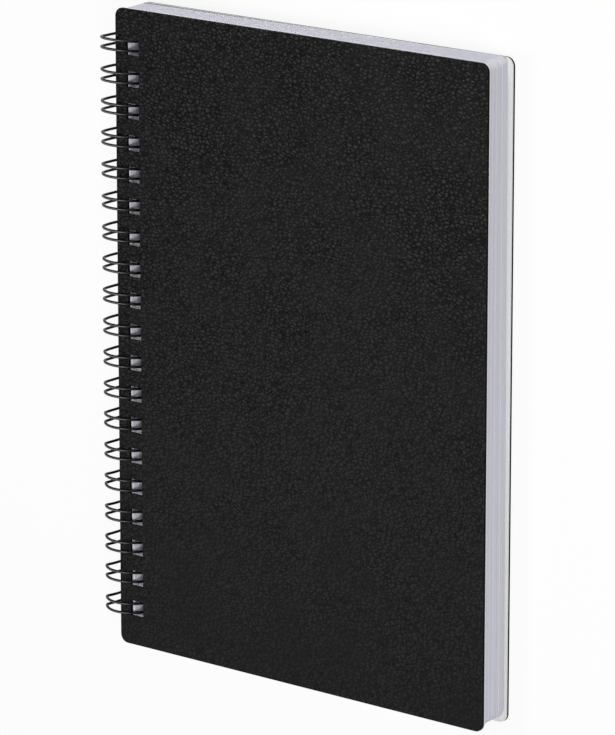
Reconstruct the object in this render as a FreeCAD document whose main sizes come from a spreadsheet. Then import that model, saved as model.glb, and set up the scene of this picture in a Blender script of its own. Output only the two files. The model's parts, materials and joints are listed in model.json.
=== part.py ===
import FreeCAD, Part
import math
import os
import Sketcher

# A twin-loop wire-bound notebook, JIS B5, lying closed on its back cover.
# The rings run along Y. X goes from the spine to the fore-edge, Y from the foot to the head, Z up.
# Every piece is drawn in the stack's own frame, whose origin is the middle of the ring axis and whose
# X lies in the plane of the sheets. One placement then lays the whole stack on the table: it rests on
# the rings and on the fore-edge of the back cover, so the sheets slope by about a degree.

document = FreeCAD.newDocument("spiral_notebook")

# Driving sizes, in millimetres
driving_sizes = {
    "page_width": 182.0,  # spine to fore-edge
    "page_length": 257.0,  # foot to head
    "page_stack": 12.1,  # all pages pressed together
    "corner_radius": 3.5,  # die-cut corners of pages and covers
    "cover_overhang": 1.0,  # cover past the pages at head, foot and fore-edge
    "cover_board": 1.1,  # leather-grained board
    "lining_paper": 0.5,  # white sheet glued inside each cover
    "edge_softening": 0.25,  # rounded rim of each cover's outer face
    "front_play": 0.2,  # air between the first page and the front lining
    "seam_play": 0.125,  # air above and below the seam bars of the wire
    "spine_offset": 0.2,  # ring axis to the spine edges
    "spine_strip": 5.7,  # spine edge to the punched holes
    "loop_pitch": 12.7,  # one double loop to the next
    "end_margin": 13.0,  # least length of page left beyond the outer loops
    "wire_size": 1.0,  # coated wire, over the coating
    "finger_gap": 3.75,  # centre to centre of the two wires of a loop
    "seam_bend": 1.0,  # bend from a loop into a seam bar
    "seam_stub": 1.5,  # cut end of the comb past its last bend
    "tip_gap": 0.35,  # closed loop tip to the seam bars
    "strip_play": 0.22,  # inside of the rings to the corners of the spine strip
    "page_play": 0.87,  # outside of the rings to the far wall of the holes
    "side_play": 0.8,  # each wire to the side wall of its hole
}
sizes = document.addObject("Spreadsheet::Sheet", "Sizes")
for row, (alias, value) in enumerate(driving_sizes.items(), start=1):
    sizes.set("A%d" % row, str(value))
    sizes.setAlias("A%d" % row, alias)
document.recompute()

# Sizes that follow from the driving ones
fits = document.addObject("App::VarSet", "Fits")


def follow(name, rule, kind="App::PropertyFloat"):
    """A value that a rule works out from the driving sizes and from the values before it."""
    fits.addProperty(kind, name)
    fits.setExpression(name, rule)


# Heights are measured from the ring axis, which is at the middle of the stack.
follow("cover_width", "Sizes.page_width + Sizes.cover_overhang")
follow("cover_length", "Sizes.page_length + 2 * Sizes.cover_overhang")
follow("lined_cover", "Sizes.cover_board + Sizes.lining_paper")
follow("seam_space", "Sizes.wire_size + 2 * Sizes.seam_play")
follow(
    "half_stack",
    "(2 * Fits.lined_cover + Sizes.front_play + Sizes.page_stack + Fits.seam_space) / 2",
)
follow("back_lining_low", "Sizes.cover_board - Fits.half_stack")
follow("pages_low", "Fits.lined_cover + Fits.seam_space - Fits.half_stack")
follow("front_lining_low", "Fits.half_stack - Fits.lined_cover")
follow("front_cover_low", "Fits.half_stack - Sizes.cover_board")
follow("back_cover_low", "-Fits.half_stack")

# The smallest ring that passes clear of the outer corners of the spine strip
follow("hole_near", "Sizes.spine_offset + Sizes.spine_strip")
follow("ring_inner", "hypot(Fits.hole_near + Sizes.strip_play; Fits.half_stack)")
follow("ring_radius", "Fits.ring_inner + Sizes.wire_size / 2")
follow("ring_outer", "Fits.ring_inner + Sizes.wire_size")
follow("hole_far", "Fits.ring_outer + Sizes.page_play")
follow("hole_across", "Sizes.finger_gap + Sizes.wire_size + 2 * Sizes.side_play")
follow(
    "loop_count",
    "floor((Sizes.page_length - 2 * Sizes.end_margin) / Sizes.loop_pitch) + 1",
    "App::PropertyInteger",
)
follow("first_loop", "-(Fits.loop_count - 1) * Sizes.loop_pitch / 2")

# The seam bars lie under the last page; the loop tips stop short of them
follow("bar_height", "Fits.pages_low - Sizes.seam_play - Sizes.wire_size / 2")
follow("bar_reach", "hypot(Fits.ring_radius; Sizes.seam_bend)")
follow("bar_angle", "asin(Fits.bar_height / Fits.bar_reach)", "App::PropertyAngle")
follow(
    "base_angle",
    "Fits.bar_angle - atan(Sizes.seam_bend / Fits.ring_radius)",
    "App::PropertyAngle",
)
follow(
    "tip_angle",
    "Fits.bar_angle + (Sizes.wire_size + Sizes.tip_gap) / Fits.ring_radius * 180 deg / pi"
    " + atan(Sizes.finger_gap / 2 / Fits.ring_radius)",
    "App::PropertyAngle",
)

# The rest pose: the rings and the fore-edge of the back cover both touch the table
follow("fore_edge", "Sizes.spine_offset + Fits.cover_width")
follow(
    "rest_slope",
    "asin(Fits.ring_outer / hypot(Fits.fore_edge; Fits.half_stack))"
    " - atan(Fits.half_stack / Fits.fore_edge)",
    "App::PropertyAngle",
)
follow(
    "rest_shift",
    "(Fits.ring_outer - Fits.fore_edge * cos(Fits.rest_slope)"
    " - Fits.half_stack * sin(Fits.rest_slope)) / 2",
)
document.recompute()


def lay_down(piece):
    """Place a piece, drawn in the stack's frame, as it lies on the table."""
    piece.Placement = FreeCAD.Placement(
        FreeCAD.Vector(0, 0, 0), FreeCAD.Rotation(FreeCAD.Vector(0, 1, 0), 1)
    )
    piece.setExpression("Placement.Rotation.Angle", "Fits.rest_slope")
    piece.setExpression("Placement.Base.x", "Fits.rest_shift * 1 mm")
    piece.setExpression("Placement.Base.z", "Fits.ring_outer * 1 mm")


def plane_of(body, role):
    """One of the body's own origin planes or axes."""
    return next(each for each in body.Origin.OriginFeatures if each.Role == role)


def flat_sketch(body, name, height_rule):
    """A sketch in the plane of the sheets, at a height above the ring axis."""
    sketch = body.newObject("Sketcher::SketchObject", name)
    sketch.AttachmentSupport = [(plane_of(body, "XY_Plane"), "")]
    sketch.MapMode = "FlatFace"
    sketch.setExpression("AttachmentOffset.Base.z", "(%s) * 1 mm" % height_rule)
    return sketch


SKETCHED_SPAN = 10  # corner radii; the outline starts at this size and its rules then stretch it


def draw_sheet_outline(sketch, width_rule, length_rule):
    """A rectangle with round corners: its spine edge beside the ring axis, its length centred on it."""
    radius = sizes.corner_radius
    left = sizes.spine_offset
    right = left + SKETCHED_SPAN * radius
    top = SKETCHED_SPAN * radius
    corners = [
        (left + radius, radius - top, 180),
        (right - radius, radius - top, 270),
        (right - radius, top - radius, 0),
        (left + radius, top - radius, 90),
    ]
    up = FreeCAD.Vector(0, 0, 1)
    arcs = []
    for x, y, start in corners:
        circle = Part.Circle(FreeCAD.Vector(x, y, 0), up, radius)
        first, last = math.radians(start), math.radians(start + 90)
        arcs.append(sketch.addGeometry(Part.ArcOfCircle(circle, first, last)))
    edges = []
    for index, arc in enumerate(arcs):
        after = arcs[(index + 1) % len(arcs)]
        start = sketch.getPoint(arc, 2)
        end = sketch.getPoint(after, 1)
        edge = sketch.addGeometry(Part.LineSegment(start, end))
        sketch.addConstraint(Sketcher.Constraint("Tangent", arc, 2, edge, 1))
        sketch.addConstraint(Sketcher.Constraint("Tangent", edge, 2, after, 1))
        edges.append(edge)
    foot, fore, head, spine = edges
    sketch.addConstraint(Sketcher.Constraint("Horizontal", foot))
    sketch.addConstraint(Sketcher.Constraint("Horizontal", head))
    sketch.addConstraint(Sketcher.Constraint("Vertical", fore))
    sketch.addConstraint(Sketcher.Constraint("Vertical", spine))
    for arc in arcs[1:]:
        sketch.addConstraint(Sketcher.Constraint("Equal", arcs[0], arc))
    along_x = [
        ("offset", (-1, 1, spine, 1, left), "Sizes.spine_offset"),
        ("width", (spine, 1, fore, 1, right - left), width_rule),
    ]
    along_y = [
        ("length", (foot, 1, head, 2, 2 * top), length_rule),
        ("centring", (foot, 1, -1, 1, top), "(%s) / 2" % length_rule),
    ]
    bind(sketch, "Radius", [("corner", (arcs[0], radius), "Sizes.corner_radius")])
    bind(sketch, "DistanceX", along_x)
    bind(sketch, "DistanceY", along_y)


def draw_hole(sketch):
    """The first punched hole, at the foot end of the row."""
    near, far, side = fits.hole_near, fits.hole_far, fits.hole_across / 2
    points = [
        FreeCAD.Vector(near, fits.first_loop - side, 0),
        FreeCAD.Vector(far, fits.first_loop - side, 0),
        FreeCAD.Vector(far, fits.first_loop + side, 0),
        FreeCAD.Vector(near, fits.first_loop + side, 0),
    ]
    edges = []
    for start, end in zip(points, points[1:] + points[:1]):
        edges.append(sketch.addGeometry(Part.LineSegment(start, end)))
    for edge, after in zip(edges, edges[1:] + edges[:1]):
        sketch.addConstraint(Sketcher.Constraint("Coincident", edge, 2, after, 1))
    foot, fore, head, spine = edges
    sketch.addConstraint(Sketcher.Constraint("Horizontal", foot))
    sketch.addConstraint(Sketcher.Constraint("Horizontal", head))
    sketch.addConstraint(Sketcher.Constraint("Vertical", fore))
    sketch.addConstraint(Sketcher.Constraint("Vertical", spine))
    along_x = [
        ("near", (-1, 1, spine, 1, near), "Fits.hole_near"),
        ("depth", (foot, 1, foot, 2, far - near), "Fits.hole_far - Fits.hole_near"),
    ]
    along_y = [
        ("across", (fore, 1, fore, 2, 2 * side), "Fits.hole_across"),
        ("place", (foot, 1, -1, 1, side - fits.first_loop), "Fits.hole_across / 2 - Fits.first_loop"),
    ]
    bind(sketch, "DistanceX", along_x)
    bind(sketch, "DistanceY", along_y)


def bind(sketch, kind, named):
    """Add dimensions of one kind to the sketch under their names and tie each to its rule."""
    for name, ends, rule in named:
        index = sketch.addConstraint(Sketcher.Constraint(kind, *ends))
        sketch.renameConstraint(index, name)
        sketch.setExpression("Constraints." + name, "(%s) * 1 mm" % rule)


SAME_HEIGHT = 1e-6  # millimetres within which a corner counts as lying in a face
LOST_SHARE = 1e-3  # share by which a measured volume may differ from the reckoned one


def rim_edges(pad, height):
    """The edges around the outer face of a cover, found by their height above the ring axis."""
    names = []
    for number, edge in enumerate(pad.Shape.Edges, start=1):
        if all(abs(vertex.Z - height) < SAME_HEIGHT for vertex in edge.Vertexes):
            names.append("Edge%d" % number)
    return names


def punched_sheet(label, low_rule, thickness_rule, width_rule, length_rule, soft_face=None):
    """A flat sheet with round corners and the row of square holes that the wire runs through."""
    body = document.addObject("PartDesign::Body", label)
    body.Label = label
    outline = flat_sketch(body, label + "_outline", low_rule)
    draw_sheet_outline(outline, width_rule, length_rule)
    sheet = body.newObject("PartDesign::Pad", label + "_sheet")
    sheet.Profile = outline
    sheet.setExpression("Length", "(%s) * 1 mm" % thickness_rule)
    document.recompute()
    whole_volume = sheet.Shape.Volume

    if soft_face is not None:
        rim = body.newObject("PartDesign::Fillet", label + "_rim")
        rim.Base = (sheet, rim_edges(sheet, soft_face))
        rim.setExpression("Radius", "Sizes.edge_softening * 1 mm")
        document.recompute()
        whole_volume = rim.Shape.Volume

    punch = flat_sketch(body, label + "_punch", "(%s) + (%s)" % (low_rule, thickness_rule))
    draw_hole(punch)
    hole = body.newObject("PartDesign::Pocket", label + "_hole")
    hole.Profile = punch
    hole.Type = "ThroughAll"
    document.recompute()
    row = body.newObject("PartDesign::LinearPattern", label + "_holes")
    row.Originals = [hole]
    row.Direction = (plane_of(body, "Y_Axis"), [""])
    row.Mode = "Spacing"
    row.setExpression("Offset", "Sizes.loop_pitch * 1 mm")
    row.setExpression("Occurrences", "Fits.loop_count")
    body.Tip = row
    document.recompute()

    thickness = sheet.Length.Value
    punched = fits.loop_count * fits.hole_across * (fits.hole_far - fits.hole_near) * thickness
    lost = whole_volume - row.Shape.Volume
    assert abs(lost - punched) < LOST_SHARE * punched, "%s lost %s of %s" % (label, lost, punched)
    lay_down(body)
    return body


# Pages: one solid, as thick as all the sheets
page_block = punched_sheet(
    "page_block",
    "Fits.pages_low",
    "Sizes.page_stack",
    "Sizes.page_width",
    "Sizes.page_length",
)

# Covers: board with a leather-grained face outside and a white sheet glued inside
front_cover = punched_sheet(
    "front_cover",
    "Fits.front_cover_low",
    "Sizes.cover_board",
    "Fits.cover_width",
    "Fits.cover_length",
    fits.half_stack,
)
back_cover = punched_sheet(
    "back_cover",
    "Fits.back_cover_low",
    "Sizes.cover_board",
    "Fits.cover_width",
    "Fits.cover_length",
    -fits.half_stack,
)
front_lining = punched_sheet(
    "front_lining",
    "Fits.front_lining_low",
    "Sizes.lining_paper",
    "Fits.cover_width",
    "Fits.cover_length",
)
back_lining = punched_sheet(
    "back_lining",
    "Fits.back_lining_low",
    "Sizes.lining_paper",
    "Fits.cover_width",
    "Fits.cover_length",
)

# Wire binding: one length of coated wire. Each double loop is a hairpin finger that starts at the seam
# bars, goes down through the back cover, round the spine, over and down through the front cover and
# the pages, turns back at its round tip and returns beside itself. Seam bars join finger to finger.
ring_radius = fits.ring_radius
half_gap = sizes.finger_gap / 2
base_angle = fits.base_angle.Value
tip_angle = fits.tip_angle.Value - 360
along_spine = FreeCAD.Vector(0, 1, 0)


def on_ring(angle, y):
    """A point of the ring's centre line, by its angle above the X axis."""
    turn = math.radians(angle)
    return FreeCAD.Vector(ring_radius * math.cos(turn), y, ring_radius * math.sin(turn))


def finger_heading(angle):
    """The way a finger runs at an angle: clockwise, seen with the foot of the notebook in front."""
    turn = math.radians(angle)
    return FreeCAD.Vector(math.sin(turn), 0, -math.cos(turn))


def straight(start, end):
    return Part.LineSegment(start, end).toShape()


def ring_arc(first, last, y):
    middle = on_ring((first + last) / 2, y)
    return Part.Arc(on_ring(first, y), middle, on_ring(last, y)).toShape()


def quarter_bend(start, heading, side):
    """A bend of the seam's radius that leaves start along heading and ends along side."""
    radius = sizes.seam_bend
    centre = start + side * radius
    middle = centre + (heading - side) * (radius / math.sqrt(2))
    end = centre + heading * radius
    return Part.Arc(start, middle, end).toShape(), end


def comb_path():
    """The centre line of the whole comb, edge after edge, from the foot to the head."""
    heading = finger_heading(base_angle)
    reach = heading * sizes.seam_bend
    tip_reach = finger_heading(tip_angle) * half_gap
    edges = []
    bar_start = None
    for number in range(fits.loop_count):
        y = fits.first_loop + number * sizes.loop_pitch
        foot_side = y - half_gap
        head_side = y + half_gap
        bar_end = on_ring(base_angle, foot_side) - reach - along_spine * sizes.seam_bend
        if bar_start is None:
            bar_start = bar_end - along_spine * sizes.seam_stub
        edges.append(straight(bar_start, bar_end))
        bend, _ = quarter_bend(bar_end, along_spine, heading)
        edges.append(bend)
        edges.append(ring_arc(base_angle, tip_angle, foot_side))
        tip = on_ring(tip_angle, y) + tip_reach
        hairpin = Part.Arc(on_ring(tip_angle, foot_side), tip, on_ring(tip_angle, head_side))
        edges.append(hairpin.toShape())
        edges.append(ring_arc(tip_angle, base_angle, head_side))
        bend, bar_start = quarter_bend(on_ring(base_angle, head_side), heading * -1, along_spine)
        edges.append(bend)
    edges.append(straight(bar_start, bar_start + along_spine * sizes.seam_stub))
    return Part.Wire(edges)


centre_line = document.addObject("Part::Feature", "wire_centre_line")
centre_line.Shape = comb_path()
cut_end = centre_line.Shape.Edges[0].firstVertex().Point

wire_section = document.addObject("Part::Circle", "wire_section")
wire_section.setExpression("Radius", "Sizes.wire_size / 2 * 1 mm")
facing_along = FreeCAD.Rotation(FreeCAD.Vector(0, 0, 1), along_spine)
wire_section.Placement = FreeCAD.Placement(cut_end, facing_along)

wire_binding = document.addObject("Part::Sweep", "wire_binding")
wire_binding.Label = "wire_binding"
wire_binding.Sections = [wire_section]
edge_names = ["Edge%d" % (number + 1) for number in range(len(centre_line.Shape.Edges))]
wire_binding.Spine = (centre_line, edge_names)
wire_binding.Solid = True
wire_binding.Frenet = False
wire_binding.Transition = "Right corner"
lay_down(wire_binding)
document.recompute()

wire_area = math.pi * (sizes.wire_size / 2) ** 2
wire_volume = wire_area * centre_line.Shape.Length
missing = abs(wire_binding.Shape.Volume - wire_volume)
assert missing < LOST_SHARE * wire_volume, "the wire's sweep lost volume"

# Every feature has to be sound before anything is written
for each in document.Objects:
    assert not {"Invalid", "Error"} & set(each.State), each.Label
pieces = [front_cover, front_lining, page_block, back_lining, back_cover, wire_binding]
os.makedirs("parts", exist_ok=True)
for piece in pieces:
    shape = piece.Shape
    assert not shape.isNull() and shape.isValid() and len(shape.Solids) == 1, piece.Label
    shape.exportStep("parts/%s.step" % piece.Label)
    box = shape.BoundBox
    span = (box.XLength, box.YLength, box.ZLength)
    print("%s: %.1f mm3, %.2f x %.2f x %.2f mm" % (piece.Label, shape.Volume, *span))
print("rings: %d, centre line radius %.3f mm" % (fits.loop_count, ring_radius))
print("rest slope: %.3f degrees, ring axis at x %.3f mm" % (fits.rest_slope.Value, fits.rest_shift))
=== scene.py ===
# %% [markdown]
# # A wire-bound notebook, dressed for its picture
# The CAD model gives the solids of the notebook in one fixed frame, in metres: two covers, the
# white lining of each, the block of pages and the wire comb. This lesson dresses them. The covers
# and their linings are flat boards, so they stay as they are and only get a finish. The pages
# become loose sheets and the comb becomes a smooth, slightly uneven wire, because one block and
# one perfect comb would look like a drawing of a notebook.

# %% Load the fixed frame
import json
import math
import random

import bmesh
import bpy
from mathutils import Matrix, Vector


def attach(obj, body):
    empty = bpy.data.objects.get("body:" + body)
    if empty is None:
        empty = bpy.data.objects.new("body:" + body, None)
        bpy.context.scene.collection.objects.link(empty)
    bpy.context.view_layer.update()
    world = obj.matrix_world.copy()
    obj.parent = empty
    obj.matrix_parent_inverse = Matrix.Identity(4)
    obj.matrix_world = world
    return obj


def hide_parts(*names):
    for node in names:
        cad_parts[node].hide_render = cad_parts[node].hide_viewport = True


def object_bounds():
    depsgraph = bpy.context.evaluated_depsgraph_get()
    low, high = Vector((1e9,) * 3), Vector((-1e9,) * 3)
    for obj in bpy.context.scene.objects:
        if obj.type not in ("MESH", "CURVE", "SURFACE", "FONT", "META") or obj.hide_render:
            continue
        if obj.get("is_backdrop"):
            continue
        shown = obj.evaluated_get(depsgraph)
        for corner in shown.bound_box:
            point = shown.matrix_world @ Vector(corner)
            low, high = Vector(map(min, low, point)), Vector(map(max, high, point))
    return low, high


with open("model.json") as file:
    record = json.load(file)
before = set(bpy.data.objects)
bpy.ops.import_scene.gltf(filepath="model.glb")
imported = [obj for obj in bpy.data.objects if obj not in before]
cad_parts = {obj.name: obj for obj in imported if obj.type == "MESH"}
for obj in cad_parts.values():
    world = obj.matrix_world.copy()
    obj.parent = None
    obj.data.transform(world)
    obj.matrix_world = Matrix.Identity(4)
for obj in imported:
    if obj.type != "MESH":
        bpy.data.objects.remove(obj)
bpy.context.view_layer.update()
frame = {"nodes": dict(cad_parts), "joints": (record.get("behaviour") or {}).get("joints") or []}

nodes = frame["nodes"]

# %% [markdown]
# ## The stack's own directions
# A closed notebook of this kind rests on its rings and on the far edge of its back cover, so its
# sheets slope by about a degree. Every measure is simpler in the stack's own directions: x from
# the spine to the fore-edge, y from the foot to the head and z out of the front cover, with the
# origin in the middle of the ring axis, which is also the axis of both hinges. The slope could be
# typed in, but it would be wrong as soon as the CAD changed, so it is read from the largest face
# of the front cover.

# %% From the stack's directions to the table
hinge_point = Vector(frame["joints"][0]["pos_m"])
cover_face = max(nodes["front_cover"].data.polygons, key=lambda face: face.area * face.normal.z)
rest_slope = math.atan2(cover_face.normal.x, cover_face.normal.z)
to_table = Matrix.Translation(hinge_point) @ Matrix.Rotation(rest_slope, 4, "Y")
to_stack = to_table.inverted()
along_spine = Vector((0, 1, 0))
print("The stack slopes by %.2f degrees" % math.degrees(rest_slope))


# %% Measure a CAD piece in the stack's directions
def stack_points(name):
    """Every corner of a CAD piece, in the stack's directions."""
    return [to_stack @ corner.co for corner in nodes[name].data.vertices]


def stack_box(name):
    """Lowest and highest corner of a CAD piece, in the stack's directions."""
    across = list(zip(*stack_points(name)))
    return Vector([min(values) for values in across]), Vector([max(values) for values in across])


page_low, page_high = stack_box("page_block")
cover_low, cover_high = stack_box("front_cover")
half_stack = cover_high.z
print("Half the closed stack is %.3f mm thick" % (1000 * half_stack))

# %% [markdown]
# ## The punched holes
# The wire runs through one square hole per loop. The holes of the new sheets have to lie exactly
# on the holes of the CAD block, so their walls are measured from it: away from the outline, the
# only corners of the block are those of its holes.

# %% Find the holes in the page block
OUTLINE_MARGIN = 0.004  # wider than the round corners of a page
WALL_DIGITS = 6  # a micron tells two walls apart

inside = [
    point
    for point in stack_points("page_block")
    if page_low.x + OUTLINE_MARGIN < point.x < page_high.x - OUTLINE_MARGIN
    and abs(point.y) < page_high.y - OUTLINE_MARGIN
]
hole_near = min(point.x for point in inside)
hole_far = max(point.x for point in inside)
hole_walls = sorted({round(point.y, WALL_DIGITS) for point in inside})
hole_across = hole_walls[1] - hole_walls[0]
loop_places = [(low + high) / 2 for low, high in zip(hole_walls[::2], hole_walls[1::2])]
loop_pitch = loop_places[1] - loop_places[0]
print("%d holes, %.2f mm apart" % (len(loop_places), 1000 * loop_pitch))

# %% [markdown]
# ## One punched sheet
# A sheet is a rectangle with round corners and a row of square holes. It could be drawn as one
# outline with the holes cut out of it, but a grid does it with no cutting: its rows and columns
# are moved onto the walls of the holes, and the cells that fall on a hole are deleted. Bevelling
# the four outer corners as points rounds them, and one extrusion gives the sheet its thickness
# and closes it.

# %% Draw a sheet
SHEET_COUNT = 100
SHEET_FILL = 0.96  # share of the height of a sheet that is paper, the rest is air
CORNER_STEPS = 6
SAME_EDGE = 0.000001  # corners this near to the head edge lie on it

sheet_pitch = (page_high.z - page_low.z) / SHEET_COUNT
page_corners = stack_points("page_block")
head_edge = [point.x for point in page_corners if page_high.y - point.y < SAME_EDGE]
corner_radius = min(head_edge) - page_low.x


def punched_sheet():
    """A flat sheet with its holes, lying at height 0 in the stack's directions."""
    columns = [page_low.x, hole_near, hole_far, page_high.x]
    rows = [page_low.y] + hole_walls + [page_high.y]
    sheet = bmesh.new()
    bmesh.ops.create_grid(sheet, x_segments=len(columns) - 1, y_segments=len(rows) - 1, size=0.5)
    for corner in sheet.verts:
        column = round((corner.co.x + 0.5) * (len(columns) - 1))
        row = round((corner.co.y + 0.5) * (len(rows) - 1))
        corner.co = (columns[column], rows[row], 0)
    punched = []
    for cell in sheet.faces:
        centre = cell.calc_center_median()
        over_hole = any(abs(centre.y - place) < hole_across / 2 for place in loop_places)
        if hole_near < centre.x < hole_far and over_hole:
            punched.append(cell)
    bmesh.ops.delete(sheet, geom=punched, context="FACES")
    outer_corners = [corner for corner in sheet.verts if len(corner.link_faces) == 1]
    bmesh.ops.bevel(
        sheet, geom=outer_corners, affect="VERTICES", offset=corner_radius, offset_type="OFFSET",
        segments=CORNER_STEPS, profile=0.5, material=-1,
    )
    grown = bmesh.ops.extrude_face_region(sheet, geom=sheet.faces[:])["geom"]
    upper = [item for item in grown if isinstance(item, bmesh.types.BMVert)]
    bmesh.ops.translate(sheet, verts=upper, vec=(0, 0, SHEET_FILL * sheet_pitch))
    bmesh.ops.recalc_face_normals(sheet, faces=sheet.faces[:])
    return sheet


one_sheet = bpy.data.meshes.new("one_sheet")
drawn = punched_sheet()
drawn.to_mesh(one_sheet)
drawn.free()
print("A sheet has %d corners" % len(one_sheet.vertices))
print("Its round corners measure %.2f mm" % (1000 * corner_radius))

# %% [markdown]
# ## The pages
# The holes are wider than the wires, so the sheets of a used notebook don't line up with its
# covers. They have slid towards the head and turned a little about the comb, the rear ones more
# than the front ones, so at the head they hide the back cover. The sheets lie in packs that shift
# together, and the front pack stands out at the fore-edge. Each copy of the sheet gets its own
# small shift, drawn from a seeded random source so that the picture is the same each time. The
# play in the holes limits it all.

# %% Stack the sheets
SLID_AT_FRONT, SLID_AT_REAR = 0.0001, 0.0007  # towards the head
TURNED_AT_FRONT, TURNED_AT_REAR = math.radians(0.08), math.radians(0.26)
PACK_SHEETS = 15
PACK_SHIFT = 0.0001  # of a pack, at most
FRONT_PACK_STEP = 0.0005  # front pack past the next one at the fore-edge
FRONT_PACK_LIFT = 0.00014  # air between the two, taken from the air under the front cover
SHEET_SHIFT = 0.00003  # of a sheet in its pack, at most
SEED = 19

chance = random.Random(SEED)
pages = bmesh.new()
for number in range(SHEET_COUNT):
    from_front = SHEET_COUNT - 1 - number
    depth = from_front / (SHEET_COUNT - 1)
    slid = SLID_AT_FRONT + (SLID_AT_REAR - SLID_AT_FRONT) * depth
    if number == 0 or from_front % PACK_SHEETS == PACK_SHEETS - 1:
        pack_x, pack_y = chance.uniform(-1, 1) * PACK_SHIFT, chance.uniform(-1, 1) * PACK_SHIFT
    shift = Vector((
        pack_x + chance.uniform(-1, 1) * SHEET_SHIFT,
        pack_y + chance.uniform(-1, 1) * SHEET_SHIFT + slid,
        page_low.z + number * sheet_pitch,
    ))
    if from_front < PACK_SHEETS:
        shift += Vector((FRONT_PACK_STEP, 0, FRONT_PACK_LIFT))
    turned = TURNED_AT_FRONT + (TURNED_AT_REAR - TURNED_AT_FRONT) * depth
    turn = Matrix.Rotation(turned, 4, "Z")
    first_new = len(pages.verts)
    pages.from_mesh(one_sheet)
    pages.verts.ensure_lookup_table()
    place = to_table @ Matrix.Translation(shift) @ turn
    bmesh.ops.transform(pages, matrix=place, verts=pages.verts[first_new:])
print("%d sheets, %d corners" % (SHEET_COUNT, len(pages.verts)))


# %% Give the pages their object
def finished(name, shape, body, slot, *replaced):
    """Turn a shape into a piece of the notebook that rides on a body and stands for CAD nodes."""
    mesh = bpy.data.meshes.new(name)
    shape.to_mesh(mesh)
    shape.free()
    piece = bpy.data.objects.new(name, mesh)
    bpy.context.scene.collection.objects.link(piece)
    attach(piece, body)
    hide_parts(*replaced)
    print("%s: %d faces" % (name, len(mesh.polygons)))
    return piece


page_sheets = finished("page_sheets", pages, "pages", "page_paper", "page_block")
bpy.data.meshes.remove(one_sheet)

# %% [markdown]
# ## The wire comb
# One length of coated wire makes all the loops. It runs along the seam at the back, bends into a
# loop, goes round the spine to a round tip, turns back beside itself and bends into the next
# stretch of seam. A curve with a round bevel could carry it, but every stretch is either straight
# or an arc, so a circle that is extruded along the straights and spun round the arcs follows it
# exactly.

# %% Sizes of the comb
WIRE_SIZE = 0.0011  # over its coat
FINGER_GAP = 0.00375  # centre to centre of the two wires of a loop
SEAM_BEND = 0.001  # radius of the bends between the loops and the seam
SEAM_STUB = 0.0015  # from the outermost bends to the cut ends
SEAM_PLAY = 0.00005  # air between the pages and the seam
TIP_GAP = 0.00035  # air between the tips and the seam
WIRE_SIDES = 12
LOOP_STEPS = 56
TIP_STEPS = 12
BEND_STEPS = 5

ring_outer = max(abs(point.z) for point in stack_points("wire_binding"))
ring_radius = ring_outer - WIRE_SIZE / 2
bar_height = page_low.z - SEAM_PLAY - WIRE_SIZE / 2
bar_angle = math.asin(bar_height / math.hypot(ring_radius, SEAM_BEND))
base_angle = bar_angle - math.atan(SEAM_BEND / ring_radius)
tip_reach = math.atan(FINGER_GAP / 2 / ring_radius)
tip_angle = bar_angle + (WIRE_SIZE + TIP_GAP) / ring_radius + tip_reach
loop_turn = base_angle - tip_angle + 2 * math.pi
print("Rings of %.2f mm over the wire" % (2000 * ring_outer))
print("Each wire of a loop turns by %.1f degrees" % math.degrees(loop_turn))


# %% Carry the wire's section along a stretch
def newest_ring(items):
    """The last ring of corners and edges among what an operator made."""
    corners = {item for item in items if isinstance(item, bmesh.types.BMVert)}
    edges = [item for item in items if isinstance(item, bmesh.types.BMEdge)]
    return list(corners) + [edge for edge in edges if corners.issuperset(edge.verts)]


def go_straight(comb, section, reach):
    """Extrude the wire's end by a distance and give back the new end."""
    edges = [item for item in section if isinstance(item, bmesh.types.BMEdge)]
    section = newest_ring(bmesh.ops.extrude_edge_only(comb, edges=edges)["geom"])
    corners = [item for item in section if isinstance(item, bmesh.types.BMVert)]
    bmesh.ops.translate(comb, verts=corners, vec=reach)
    return section


def go_round(comb, section, centre, axis, angle, steps):
    """Spin the wire's end about an axis and give back the new end."""
    spun = bmesh.ops.spin(
        comb, geom=section, cent=centre, axis=axis, angle=angle, steps=steps, use_merge=False,
    )
    return newest_ring(spun["geom_last"])


def on_ring(angle, y):
    """A point of a ring's centre line, by its angle above the x direction."""
    return Vector((ring_radius * math.cos(angle), y, ring_radius * math.sin(angle)))


def heading(angle):
    """The way a finger runs at an angle, away from the seam."""
    return Vector((math.sin(angle), 0, -math.cos(angle)))


# %% Bend one loop
def bent_loop():
    """One double loop with the bends at its two ends, at the middle of the spine."""
    out = heading(base_angle)
    half_gap = FINGER_GAP / 2
    quarter, half = math.radians(90), math.radians(180)
    bend_axis = along_spine.cross(out)
    bend_in = on_ring(base_angle, -half_gap) - along_spine * SEAM_BEND
    bend_out = on_ring(base_angle, half_gap) + along_spine * SEAM_BEND
    start = Matrix.Translation(bend_in - out * SEAM_BEND) @ Matrix.Rotation(-quarter, 4, "X")
    loop = bmesh.new()
    bmesh.ops.create_circle(loop, segments=WIRE_SIDES, radius=WIRE_SIZE / 2, matrix=start)
    section = loop.verts[:] + loop.edges[:]
    section = go_round(loop, section, bend_in, bend_axis, quarter, BEND_STEPS)
    section = go_round(loop, section, -along_spine * half_gap, along_spine, loop_turn, LOOP_STEPS)
    tip_axis = heading(tip_angle).cross(along_spine)
    section = go_round(loop, section, on_ring(tip_angle, 0), tip_axis, half, TIP_STEPS)
    section = go_round(loop, section, along_spine * half_gap, -along_spine, loop_turn, LOOP_STEPS)
    go_round(loop, section, bend_out, bend_axis, quarter, BEND_STEPS)
    return loop


one_loop = bpy.data.meshes.new("one_loop")
drawn = bent_loop()
drawn.to_mesh(one_loop)
drawn.free()
print("A loop has %d corners" % len(one_loop.vertices))

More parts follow.
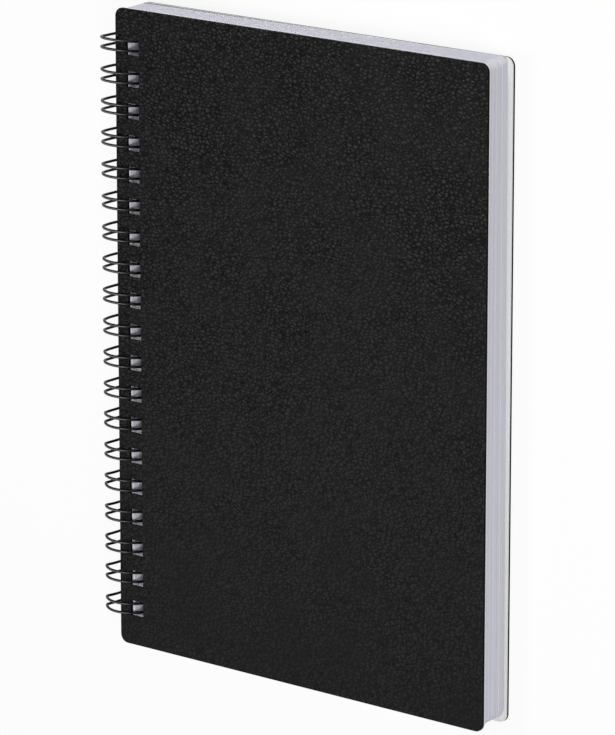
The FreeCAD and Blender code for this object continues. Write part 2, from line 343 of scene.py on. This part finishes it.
# %% [markdown]
# ## A used comb
# The loops of a real comb are closed by a machine and then pushed about in a bag, so none stands
# quite like its neighbour, and the comb of this notebook is pressed flatter towards the foot.
# Noise would ripple the wire. Each wire of a loop moves as a whole instead: not at all at the
# seam, a little over the front cover, and most at the spine, where nothing holds it. A cover that
# is folded open has its holes beside the spine, at the height of its own board, so the wire is
# pressed only between the boards and the holes still clear it. Straight seam bars are then
# bridged from loop to loop.

# %% Join the loops into a comb
LEAN = 0.0003  # along the spine, at most
FRONT_LEAN = 0.0002  # the same over the front cover, inside the play of the holes
COMB_STRETCH = 0.0006  # how far the comb has crept towards the head in its last hole there
SWELL = 0.00015  # away from the spine, at most
PRESSED_AT_HEAD, PRESSED_AT_FOOT = 0.0012, 0.0032  # towards the spine
PRESSED_FROM = 0.42  # share of the comb, from the head, that is pressed evenly
BOARD_ROOM = 0.0018  # an opened cover has its board and lining this far inside the stack's faces

pressed_height = half_stack - BOARD_ROOM


def eased(share):
    """0 below 0, 1 above 1, and a soft step between."""
    share = min(max(share, 0), 1)
    return share * share * (3 - 2 * share)


comb = bmesh.new()
for place in loop_places:
    from_head = (loop_places[-1] - place) / (loop_places[-1] - loop_places[0])
    at_foot = eased((from_head - PRESSED_FROM) / (1 - PRESSED_FROM))
    pressed = PRESSED_AT_HEAD + (PRESSED_AT_FOOT - PRESSED_AT_HEAD) * at_foot
    leans = [chance.uniform(-1, 1) * LEAN for side in range(2)]
    crept = COMB_STRETCH * (1 - from_head)
    front_leans = [crept + chance.uniform(-1, 1) * FRONT_LEAN for side in range(2)]
    swells = [chance.uniform(-1, 1) * SWELL - pressed for side in range(2)]
    first_new = len(comb.verts)
    comb.from_mesh(one_loop)
    comb.verts.ensure_lookup_table()
    for corner in comb.verts[first_new:]:
        side = corner.co.y > 0
        from_axis = math.hypot(corner.co.x, corner.co.z)
        free = max(0, -corner.co.x / from_axis)
        in_front = max(0, corner.co.z / from_axis)
        lean = leans[side] * free * free + front_leans[side] * in_front * in_front
        between = max(0, 1 - (corner.co.z / pressed_height) ** 2) if free else 0
        corner.co += Vector((-swells[side] * between, lean + place, 0))
print("%d loops with %d corners" % (len(loop_places), len(comb.verts)))

# %% Bridge the seam and close the cut ends
ends = {}
for edge in comb.edges:
    if edge.is_boundary:
        y = (edge.verts[0].co.y + edge.verts[1].co.y) / 2
        place = min(loop_places, key=lambda each: abs(each - y))
        ends.setdefault((place, y > place), []).append(edge)
for place, following in zip(loop_places, loop_places[1:]):
    bmesh.ops.bridge_loops(comb, edges=ends[place, True] + ends[following, False])
for edges, way in ((ends[loop_places[0], False], -1), (ends[loop_places[-1], True], 1)):
    corners = list({corner for edge in edges for corner in edge.verts})
    go_straight(comb, corners + edges, along_spine * way * SEAM_STUB)
open_ends = [edge for edge in comb.edges if edge.is_boundary]
caps = bmesh.ops.holes_fill(comb, edges=open_ends, sides=WIRE_SIDES)["faces"]
bmesh.ops.recalc_face_normals(comb, faces=comb.faces[:])
for face in comb.faces:
    face.smooth = True
for cap in caps:
    cap.smooth = False
bmesh.ops.transform(comb, matrix=to_table, verts=comb.verts[:])
wire_comb = finished("wire_comb", comb, "pages", "coated_wire", "wire_binding")
bpy.data.meshes.remove(one_loop)

# %% [markdown]
# ## Materials
# Every finish is made of nodes on a Principled shader and reads Object coordinates, which are
# metres in the same frame for all pieces. A Mapping node takes them back to the stack's
# directions, so that a pattern lies flat in the sheets. Numbers that are the same all over a
# surface are set on the shader.


# %% Helpers for node trees
def node(tree, kind, inputs=None, **settings):
    """Add a node, set it up and fill its sockets with values or with links."""
    made = tree.nodes.new("ShaderNode" + kind)
    for setting, value in settings.items():
        setattr(made, setting, value)
    for socket, value in (inputs or {}).items():
        if isinstance(value, bpy.types.NodeSocket):
            tree.links.new(value, made.inputs[socket])
        else:
            made.inputs[socket].default_value = value
    return made


def maths(tree, operation, *values):
    """A Math node's result."""
    return node(tree, "Math", dict(enumerate(values)), operation=operation).outputs[0]


def graded(tree, value, low, high, to_low, to_high, way="LINEAR"):
    """A value carried from one range to another and kept inside it."""
    inputs = {
        "Value": value, "From Min": low, "From Max": high, "To Min": to_low, "To Max": to_high,
    }
    return node(tree, "MapRange", inputs, interpolation_type=way).outputs["Result"]


def vector_maths(tree, operation, *values):
    """A Vector Math node's vector."""
    return node(tree, "VectorMath", dict(enumerate(values)), operation=operation).outputs[0]


def toned(tree, share, dark, light):
    """A colour between two others."""
    mixed = node(tree, "Mix", {"Factor": share}, data_type="RGBA")
    mixed.inputs["A"].default_value = (*dark, 1)
    mixed.inputs["B"].default_value = (*light, 1)
    return mixed.outputs["Result"]


# %% Helpers for patterns and relief
NOISE_LOW, NOISE_HIGH = 0.3, 0.7  # nearly all values of a noise lie between these


def noise(tree, place, scale, detail, roughness):
    """A Noise Texture node's results: Color, and Fac for one number."""
    inputs = {"Vector": place, "Scale": scale, "Detail": detail, "Roughness": roughness}
    return node(tree, "TexNoise", inputs).outputs


def mapped(tree, point, how="POINT", **inputs):
    """A point carried over by a Mapping node."""
    inputs = {"Vector": point, **inputs}
    return node(tree, "Mapping", inputs, vector_type=how).outputs["Vector"]


def bumped(tree, height, strength, distance, **inputs):
    """A surface direction with relief in it."""
    inputs = {"Height": height, "Strength": strength, "Distance": distance, **inputs}
    return node(tree, "Bump", inputs).outputs["Normal"]


# %% Start a finish
def start_finish(name):
    """A material, its tree and shader, and each point's place in the stack's directions."""
    material = bpy.data.materials.new(name)
    material.use_nodes = True
    tree = material.node_tree
    tree.nodes.clear()
    shader = node(tree, "BsdfPrincipled")
    node(tree, "OutputMaterial", {"Surface": shader.outputs["BSDF"]})
    where = node(tree, "TexCoord").outputs["Object"]
    moved = mapped(tree, where, Location=-hinge_point)
    turned = mapped(tree, moved, Rotation=(0, -rest_slope, 0))
    return material, tree, shader, turned


# %% [markdown]
# ## Leather-grained board
# The covers are board with a black film whose grain is pressed in by a roller that copies a hide:
# soft pebbles one or two millimetres across, coarse at the head, smoother towards the foot, and
# deeper in some patches than in others. The creases between the pebbles are painted shade: the
# colour goes nearly black in them and in the hollows of the finer layer, less where the grain is
# shallow. A picture of leather would do it in one step, but it would repeat and blur. Cells whose
# edges are bent by noise give pebbles of any size, a finer layer roughens them, and a slow noise
# makes the patches. The cut edge of the board has no grain and is darker.

# %% Make the leather
PEBBLES = 640  # across a metre
PEBBLE_STRETCH = (1.39, 0.87, 1)
PEBBLE_TURN = math.radians(-11)
PEBBLE_HEIGHT = 0.0004
CREASE_SIDE, PEBBLE_TOP = 0.03, 0.34  # in cells from the crease: where a pebble rises and is full
BEND_SCALE, GRAIN_BEND = 650, 0.001
FINE_SCALE, FINE_HEIGHT = 900, 0.00009
FINE_SHADE = 1.6  # how much the painted shade of the fine layer shows in the colour
PATCH_SCALE, PATCH_LOW, PATCH_HIGH = 38, 0.35, 0.65
SHALLOW_PATCH = 0.6  # depth of the grain in a shallow patch, of the full depth
DEPTH_AT_FOOT = 0.4  # of the depth at the head
MEAN_PEBBLE = 0.4
RIM = 0.00025  # rounded rim of the face, without grain
RIM_FADE = 0.2  # share of the rim in which the grain ends
# Painted shade: the colour is nearly black in the creases and lighter on the pebbles; the cut edge
# takes the same black as its own colour.
CREASE_SHADE_AND_EDGE_BLACK, PEBBLE_BLACK = (0.0001, 0.0001, 0.0001), (0.029, 0.029, 0.0295)
CREASE_ROUGHNESS, PEBBLE_ROUGHNESS = 0.4, 0.25
LEATHER_SPECULAR = 0.04

leather, tree, shader, place = start_finish("leather_board")
bend = noise(tree, place, BEND_SCALE, 2, 0.6)["Color"]
centred = vector_maths(tree, "SUBTRACT", bend, (0.5, 0.5, 0.5))
scaled = vector_maths(tree, "MULTIPLY", centred, (GRAIN_BEND, GRAIN_BEND, GRAIN_BEND))
bent = vector_maths(tree, "ADD", place, scaled)
stretched = mapped(tree, bent, "TEXTURE", Rotation=(0, 0, PEBBLE_TURN), Scale=PEBBLE_STRETCH)
cells = {"Vector": stretched, "Scale": PEBBLES}
from_crease = node(tree, "TexVoronoi", cells, feature="DISTANCE_TO_EDGE").outputs["Distance"]
pebble = graded(tree, from_crease, CREASE_SIDE, PEBBLE_TOP, 0, 1, "SMOOTHSTEP")
fine = noise(tree, place, FINE_SCALE, 3, 0.65)["Fac"]
patches = noise(tree, place, PATCH_SCALE, 2, 0.55)["Fac"]
places = node(tree, "SeparateXYZ", {"Vector": place}).outputs

# %% Give the grain its depth
hide = graded(tree, places["Y"], cover_low.y, cover_high.y, DEPTH_AT_FOOT, 1, "SMOOTHSTEP")
patchy = graded(tree, patches, PATCH_LOW, PATCH_HIGH, SHALLOW_PATCH, 1)
depth = maths(tree, "MULTIPLY", patchy, hide)
height = maths(tree, "ABSOLUTE", places["Z"])
on_face = graded(tree, height, half_stack - RIM, half_stack - RIM_FADE * RIM, 0, 1)
strength = maths(tree, "MULTIPLY", depth, on_face)
pressed = bumped(tree, pebble, strength, PEBBLE_HEIGHT)
rough = bumped(tree, fine, on_face, FINE_HEIGHT, Normal=pressed)
tree.links.new(rough, shader.inputs["Normal"])

# %% Give the grain its colour and its painted shade
# Painted shade: the colour follows the height of the pebbles and of the fine layer, darkest in the
# creases, and fades where the grain is shallow.
fine_shade = maths(tree, "MULTIPLY", maths(tree, "SUBTRACT", fine, 0.5), FINE_SHADE)
ragged = maths(tree, "ADD", pebble, fine_shade)
relief = maths(tree, "MULTIPLY", maths(tree, "SUBTRACT", ragged, MEAN_PEBBLE), depth)
share = maths(tree, "MULTIPLY", maths(tree, "ADD", relief, MEAN_PEBBLE), on_face)
shade = toned(tree, share, CREASE_SHADE_AND_EDGE_BLACK, PEBBLE_BLACK)
tree.links.new(shade, shader.inputs["Base Color"])
polish = graded(tree, pebble, 0, 1, CREASE_ROUGHNESS, PEBBLE_ROUGHNESS)
tree.links.new(polish, shader.inputs["Roughness"])
shader.inputs["Specular IOR Level"].default_value = LEATHER_SPECULAR
print("Leather grain of about %.1f mm" % (1000 / PEBBLES))

# %% [markdown]
# ## Paper
# The lining is smooth white card. The pages are thinner and a little cool, and no two sheets of a
# pile are quite as bright, which the eye sees as faint lines along the edges of the stack. The
# number of a sheet follows from its height, so a random tone per number stays with the sheet.

# %% Make the two papers
FIBRE_SCALE = 2600
MOTTLE = 0.15  # share of light that the fibres add or take
TOOTH_STRENGTH, TOOTH_HEIGHT = 0.3, 0.00002
PAPER_ROUGHNESS, PAPER_SPECULAR = 0.75, 0.25
LINING_DARK, LINING_LIGHT, LINING_TONE = (0.84, 0.84, 0.84), (0.92, 0.92, 0.92), 0.7
PAGE_DARK, PAGE_LIGHT = (0.66, 0.66, 0.73), (0.78, 0.78, 0.84)
DARKEST_SHEET = 0.25  # share of light of the darkest sheet


def paper(name, dark, light, tone_of):
    """White paper with a faint mottle of fibres; tone_of gives the share of light at each point."""
    material, tree, shader, place = start_finish(name)
    fibres = noise(tree, place, FIBRE_SCALE, 4, 0.7)["Fac"]
    mottle = graded(tree, fibres, NOISE_LOW, NOISE_HIGH, -MOTTLE, MOTTLE)
    share = maths(tree, "ADD", tone_of(tree, place), mottle)
    clamped = graded(tree, share, 0, 1, 0, 1)
    tree.links.new(toned(tree, clamped, dark, light), shader.inputs["Base Color"])
    tooth = bumped(tree, fibres, TOOTH_STRENGTH, TOOTH_HEIGHT)
    tree.links.new(tooth, shader.inputs["Normal"])
    shader.inputs["Roughness"].default_value = PAPER_ROUGHNESS
    shader.inputs["Specular IOR Level"].default_value = PAPER_SPECULAR
    return material


def tone_of_sheets(tree, place):
    """A random tone for each sheet, from its height in the stack."""
    height = node(tree, "SeparateXYZ", {"Vector": place}).outputs["Z"]
    half_air = (1 - SHEET_FILL) / 2 * sheet_pitch
    from_bottom = maths(tree, "SUBTRACT", height, page_low.z - half_air)
    number = maths(tree, "FLOOR", maths(tree, "DIVIDE", from_bottom, sheet_pitch))
    pick = node(tree, "TexWhiteNoise", {"W": number}, noise_dimensions="1D").outputs["Value"]
    return graded(tree, pick, 0, 1, DARKEST_SHEET, 1)


lining_paper = paper("lining_paper", LINING_DARK, LINING_LIGHT, lambda tree, place: LINING_TONE)
page_paper = paper("page_paper", PAGE_DARK, PAGE_LIGHT, tone_of_sheets)
print("Papers:", lining_paper.name, page_paper.name)

# %% [markdown]
# ## Coated wire
# The steel wire has a thin black plastic coat, smooth but not polished. Where a loop lies over
# the edge of the front cover, a highlight is painted into its colour, in one thin pale line along
# its outside. The line could be a strip of faces with a finish of its own, but its edges would be
# hard. It follows from the surface instead: the highlight is painted where the wire faces straight
# away from the ring axis, between the edge of the cover and the holes. An uneven coat breaks the
# line up a little.

# %% Make the wire's coat and its painted highlight
HIGHLIGHT_EDGE = 0.92  # cosine of the angle from straight outward at which the painted highlight starts
HIGHLIGHT_FADE = 0.0015  # on either side of the near wall of the holes
HIGHLIGHT_FROM, HIGHLIGHT_FULL = 0.75, 0.95  # heights over the ring axis, in radii
# The pale grey is a painted highlight, mixed into the colour of the black coat.
BLACK_COAT, HIGHLIGHT_GREY = (0.002, 0.002, 0.002), (0.17, 0.17, 0.17)
THIN_HIGHLIGHT = 0.75  # strength of the painted highlight where the coat is thickest
RIPPLE_SCALE, RIPPLE_STRENGTH, RIPPLE_HEIGHT = 900, 0.25, 0.00004
SMOOTHEST_COAT, ROUGHEST_COAT, COAT_SPECULAR = 0.2, 0.3, 0.06

coat, tree, shader, place = start_finish("coated_wire")
uneven = noise(tree, place, RIPPLE_SCALE, 2, 0.5)["Fac"]
ripple = bumped(tree, uneven, RIPPLE_STRENGTH, RIPPLE_HEIGHT)
tree.links.new(ripple, shader.inputs["Normal"])
coordinates = node(tree, "TexCoord").outputs
from_axis = vector_maths(tree, "SUBTRACT", coordinates["Object"], hinge_point)
across_axis = vector_maths(tree, "MULTIPLY", from_axis, (1, 0, 1))
outward = vector_maths(tree, "NORMALIZE", across_axis)
directions = {0: coordinates["Normal"], 1: outward}
facing = node(tree, "VectorMath", directions, operation="DOT_PRODUCT").outputs["Value"]
# Painted highlight: the colour turns pale where the wire faces outward over the front cover.
line = graded(tree, facing, HIGHLIGHT_EDGE, 1, 0, 1, "SMOOTHSTEP")
places = node(tree, "SeparateXYZ", {"Vector": place}).outputs
before_hole = graded(tree, places["X"], hole_near - HIGHLIGHT_FADE, hole_near + HIGHLIGHT_FADE, 1, 0)
over_cover = graded(tree, places["Z"], HIGHLIGHT_FROM * ring_radius, HIGHLIGHT_FULL * ring_radius, 0, 1)
stretch = maths(tree, "MULTIPLY", before_hole, over_cover)
unevenness = graded(tree, uneven, NOISE_LOW, NOISE_HIGH, THIN_HIGHLIGHT, 1)
uneven_line = maths(tree, "MULTIPLY", line, unevenness)
highlight_share = maths(tree, "MULTIPLY", uneven_line, stretch)
shade = toned(tree, highlight_share, BLACK_COAT, HIGHLIGHT_GREY)
tree.links.new(shade, shader.inputs["Base Color"])
polish = graded(tree, uneven, NOISE_LOW, NOISE_HIGH, SMOOTHEST_COAT, ROUGHEST_COAT)
tree.links.new(polish, shader.inputs["Roughness"])
shader.inputs["Specular IOR Level"].default_value = COAT_SPECULAR
# The rubbed line in this print is the painted highlight.
print("The rubbed line starts %.1f mm over the ring axis" % (1000 * HIGHLIGHT_FROM * ring_radius))


# %% Put the finishes on
def paint(piece, material):
    """The one finish of a piece, in place of the plain one that it came with."""
    piece.data.materials.clear()
    piece.data.materials.append(material)


for name in ("front_cover", "back_cover"):
    paint(nodes[name], leather)
for name in ("front_lining", "back_lining"):
    paint(nodes[name], lining_paper)
paint(page_sheets, page_paper)
paint(wire_comb, coat)
print("Finishes:", sorted(material.name for material in bpy.data.materials if material.users))

# %% [markdown]
# ## Floor and background
# The picture has a white ground. A lamp that bright would burn out the paper, so the white comes
# from the floor itself: seen by the camera, or in a reflection or through glass, it is mostly a
# white glow, and the small lit share keeps the shadow of the notebook. All other light finds a
# plain grey floor.

# %% Lay the floor
FLOOR_SIZE = 8
FLOOR_LIT = 0.1  # share of the floor's look that is lit
FLOOR_GREY, SEEN_GREY = (0.3, 0.3, 0.3), (0.85, 0.85, 0.85)

floor_shape = bmesh.new()
bmesh.ops.create_grid(floor_shape, x_segments=1, y_segments=1, size=FLOOR_SIZE / 2)
floor_mesh = bpy.data.meshes.new("floor")
floor_shape.to_mesh(floor_mesh)
floor_shape.free()
floor = bpy.data.objects.new("floor", floor_mesh)
bpy.context.scene.collection.objects.link(floor)
floor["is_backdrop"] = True


def is_seen(tree):
    """1 for a ray that shows the background: straight, in a reflection or through glass."""
    path = node(tree, "LightPath").outputs
    either = maths(tree, "MAXIMUM", path["Is Camera Ray"], path["Is Glossy Ray"])
    return maths(tree, "MAXIMUM", either, path["Is Transmission Ray"])


ground = bpy.data.materials.new("pale_floor")
ground.use_nodes = True
tree = ground.node_tree
tree.nodes.clear()
seen = is_seen(tree)
floor_colour = toned(tree, seen, FLOOR_GREY, SEEN_GREY)
lit = node(tree, "BsdfDiffuse", {"Color": floor_colour}).outputs[0]
glow = node(tree, "Emission", {"Color": (1, 1, 1, 1), "Strength": 1}).outputs[0]
share = maths(tree, "MULTIPLY", seen, 1 - FLOOR_LIT)
mixed = node(tree, "MixShader", {0: share, 1: lit, 2: glow}).outputs[0]
node(tree, "OutputMaterial", {"Surface": mixed})
floor.data.materials.append(ground)
print("The floor is %.0f m wide" % FLOOR_SIZE)

# %% [markdown]
# ## Light
# Soft daylight from everywhere shows the colours as they are, but it would leave the grain flat.
# Three softboxes share the rest. The small one hangs near the place whose light the cover mirrors
# to the camera, over the spine, nearer to the head than to the foot, so the grain sparkles in it
# and the sparkle fades towards the foot. One stands low beyond the head and lights only the head
# edge of the pages. One on the camera's side reaches into the punched holes.

# %% Light the world
SKY, SKY_TINT = 0.2, (0.97, 0.98, 1, 1)

world = bpy.data.worlds.new("studio")
bpy.context.scene.world = world
world.use_nodes = True
tree = world.node_tree
tree.nodes.clear()
soft = node(tree, "Background", {"Color": SKY_TINT, "Strength": SKY}).outputs[0]
white = node(tree, "Background", {"Color": (1, 1, 1, 1), "Strength": 1}).outputs[0]
sky = node(tree, "MixShader", {0: is_seen(tree), 1: soft, 2: white}).outputs[0]
node(tree, "OutputWorld", {"Surface": sky})
print("The sky's share of the light is", SKY)


# %% Hang the softboxes
def looking(eye, target):
    """The place and turn of a camera or lamp at eye that looks at target with the spine upright."""
    back = (eye - target).normalized()
    right = along_spine.cross(back).normalized()
    turned = Matrix((right, back.cross(right), back)).transposed().to_4x4()
    return Matrix.Translation(eye) @ turned


def softbox(name, eye, target, width, length, power):
    """A softbox at eye that faces target, with its length along the spine."""
    lamp = bpy.data.lights.new(name, "AREA")
    lamp.shape = "RECTANGLE"
    lamp.size = width
    lamp.size_y = length
    lamp.energy = power
    held = bpy.data.objects.new(name, lamp)
    held.matrix_world = to_table @ looking(eye, target)
    bpy.context.scene.collection.objects.link(held)


softbox(
    "grain_softbox", eye=Vector((-0.12, 0.05, 0.54)), target=Vector((0.09, 0.05, 0)),
    width=0.12, length=0.12, power=1.3,
)
softbox(
    "head_softbox", eye=Vector((0.05, 0.85, 0.11)), target=Vector((0.09, 0.13, 0)),
    width=0.5, length=0.1, power=4,
)
softbox(
    "fore_softbox", eye=Vector((0.8, -0.1, 0.8)), target=Vector((0.05, 0, 0)),
    width=0.3, length=0.5, power=6.8,
)
print("Lights:", [lamp.name for lamp in bpy.data.lights])

# %% [markdown]
# ## Camera
# The photograph looks down on the notebook from its fore-edge side, almost two metres away
# through a long lens, so the far end is nearly as wide as the near end. The corners of the front
# cover in the photograph gave this place and lens, with no shift.

# %% Set up the camera
VIEW_FROM = Vector((1.3025, 0.4921, 1.4789))
LOOKS_AT = Vector((0.0973, 0.0002, 0.0084))
LENS, SENSOR_WIDTH = 250.2, 36  # mm

camera_data = bpy.data.cameras.new("camera")
camera_data.lens = LENS
camera_data.sensor_width = SENSOR_WIDTH
camera = bpy.data.objects.new("camera", camera_data)
camera.matrix_world = to_table @ looking(VIEW_FROM, LOOKS_AT)
bpy.context.scene.collection.objects.link(camera)
bpy.context.scene.camera = camera
bpy.context.scene.view_settings.view_transform = "Standard"
print("The camera stands %.2f m away" % (VIEW_FROM - LOOKS_AT).length)

# %% [markdown]
# ## Size
# The dressed notebook has to measure what the CAD model measures. Its box is printed in
# millimetres.

# %% Measure the dressed size
dressed_low, dressed_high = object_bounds()
dressed_size = [round(1000 * (high - low), 2) for low, high in zip(dressed_low, dressed_high)]
print("Dressed box, mm:", dressed_size)
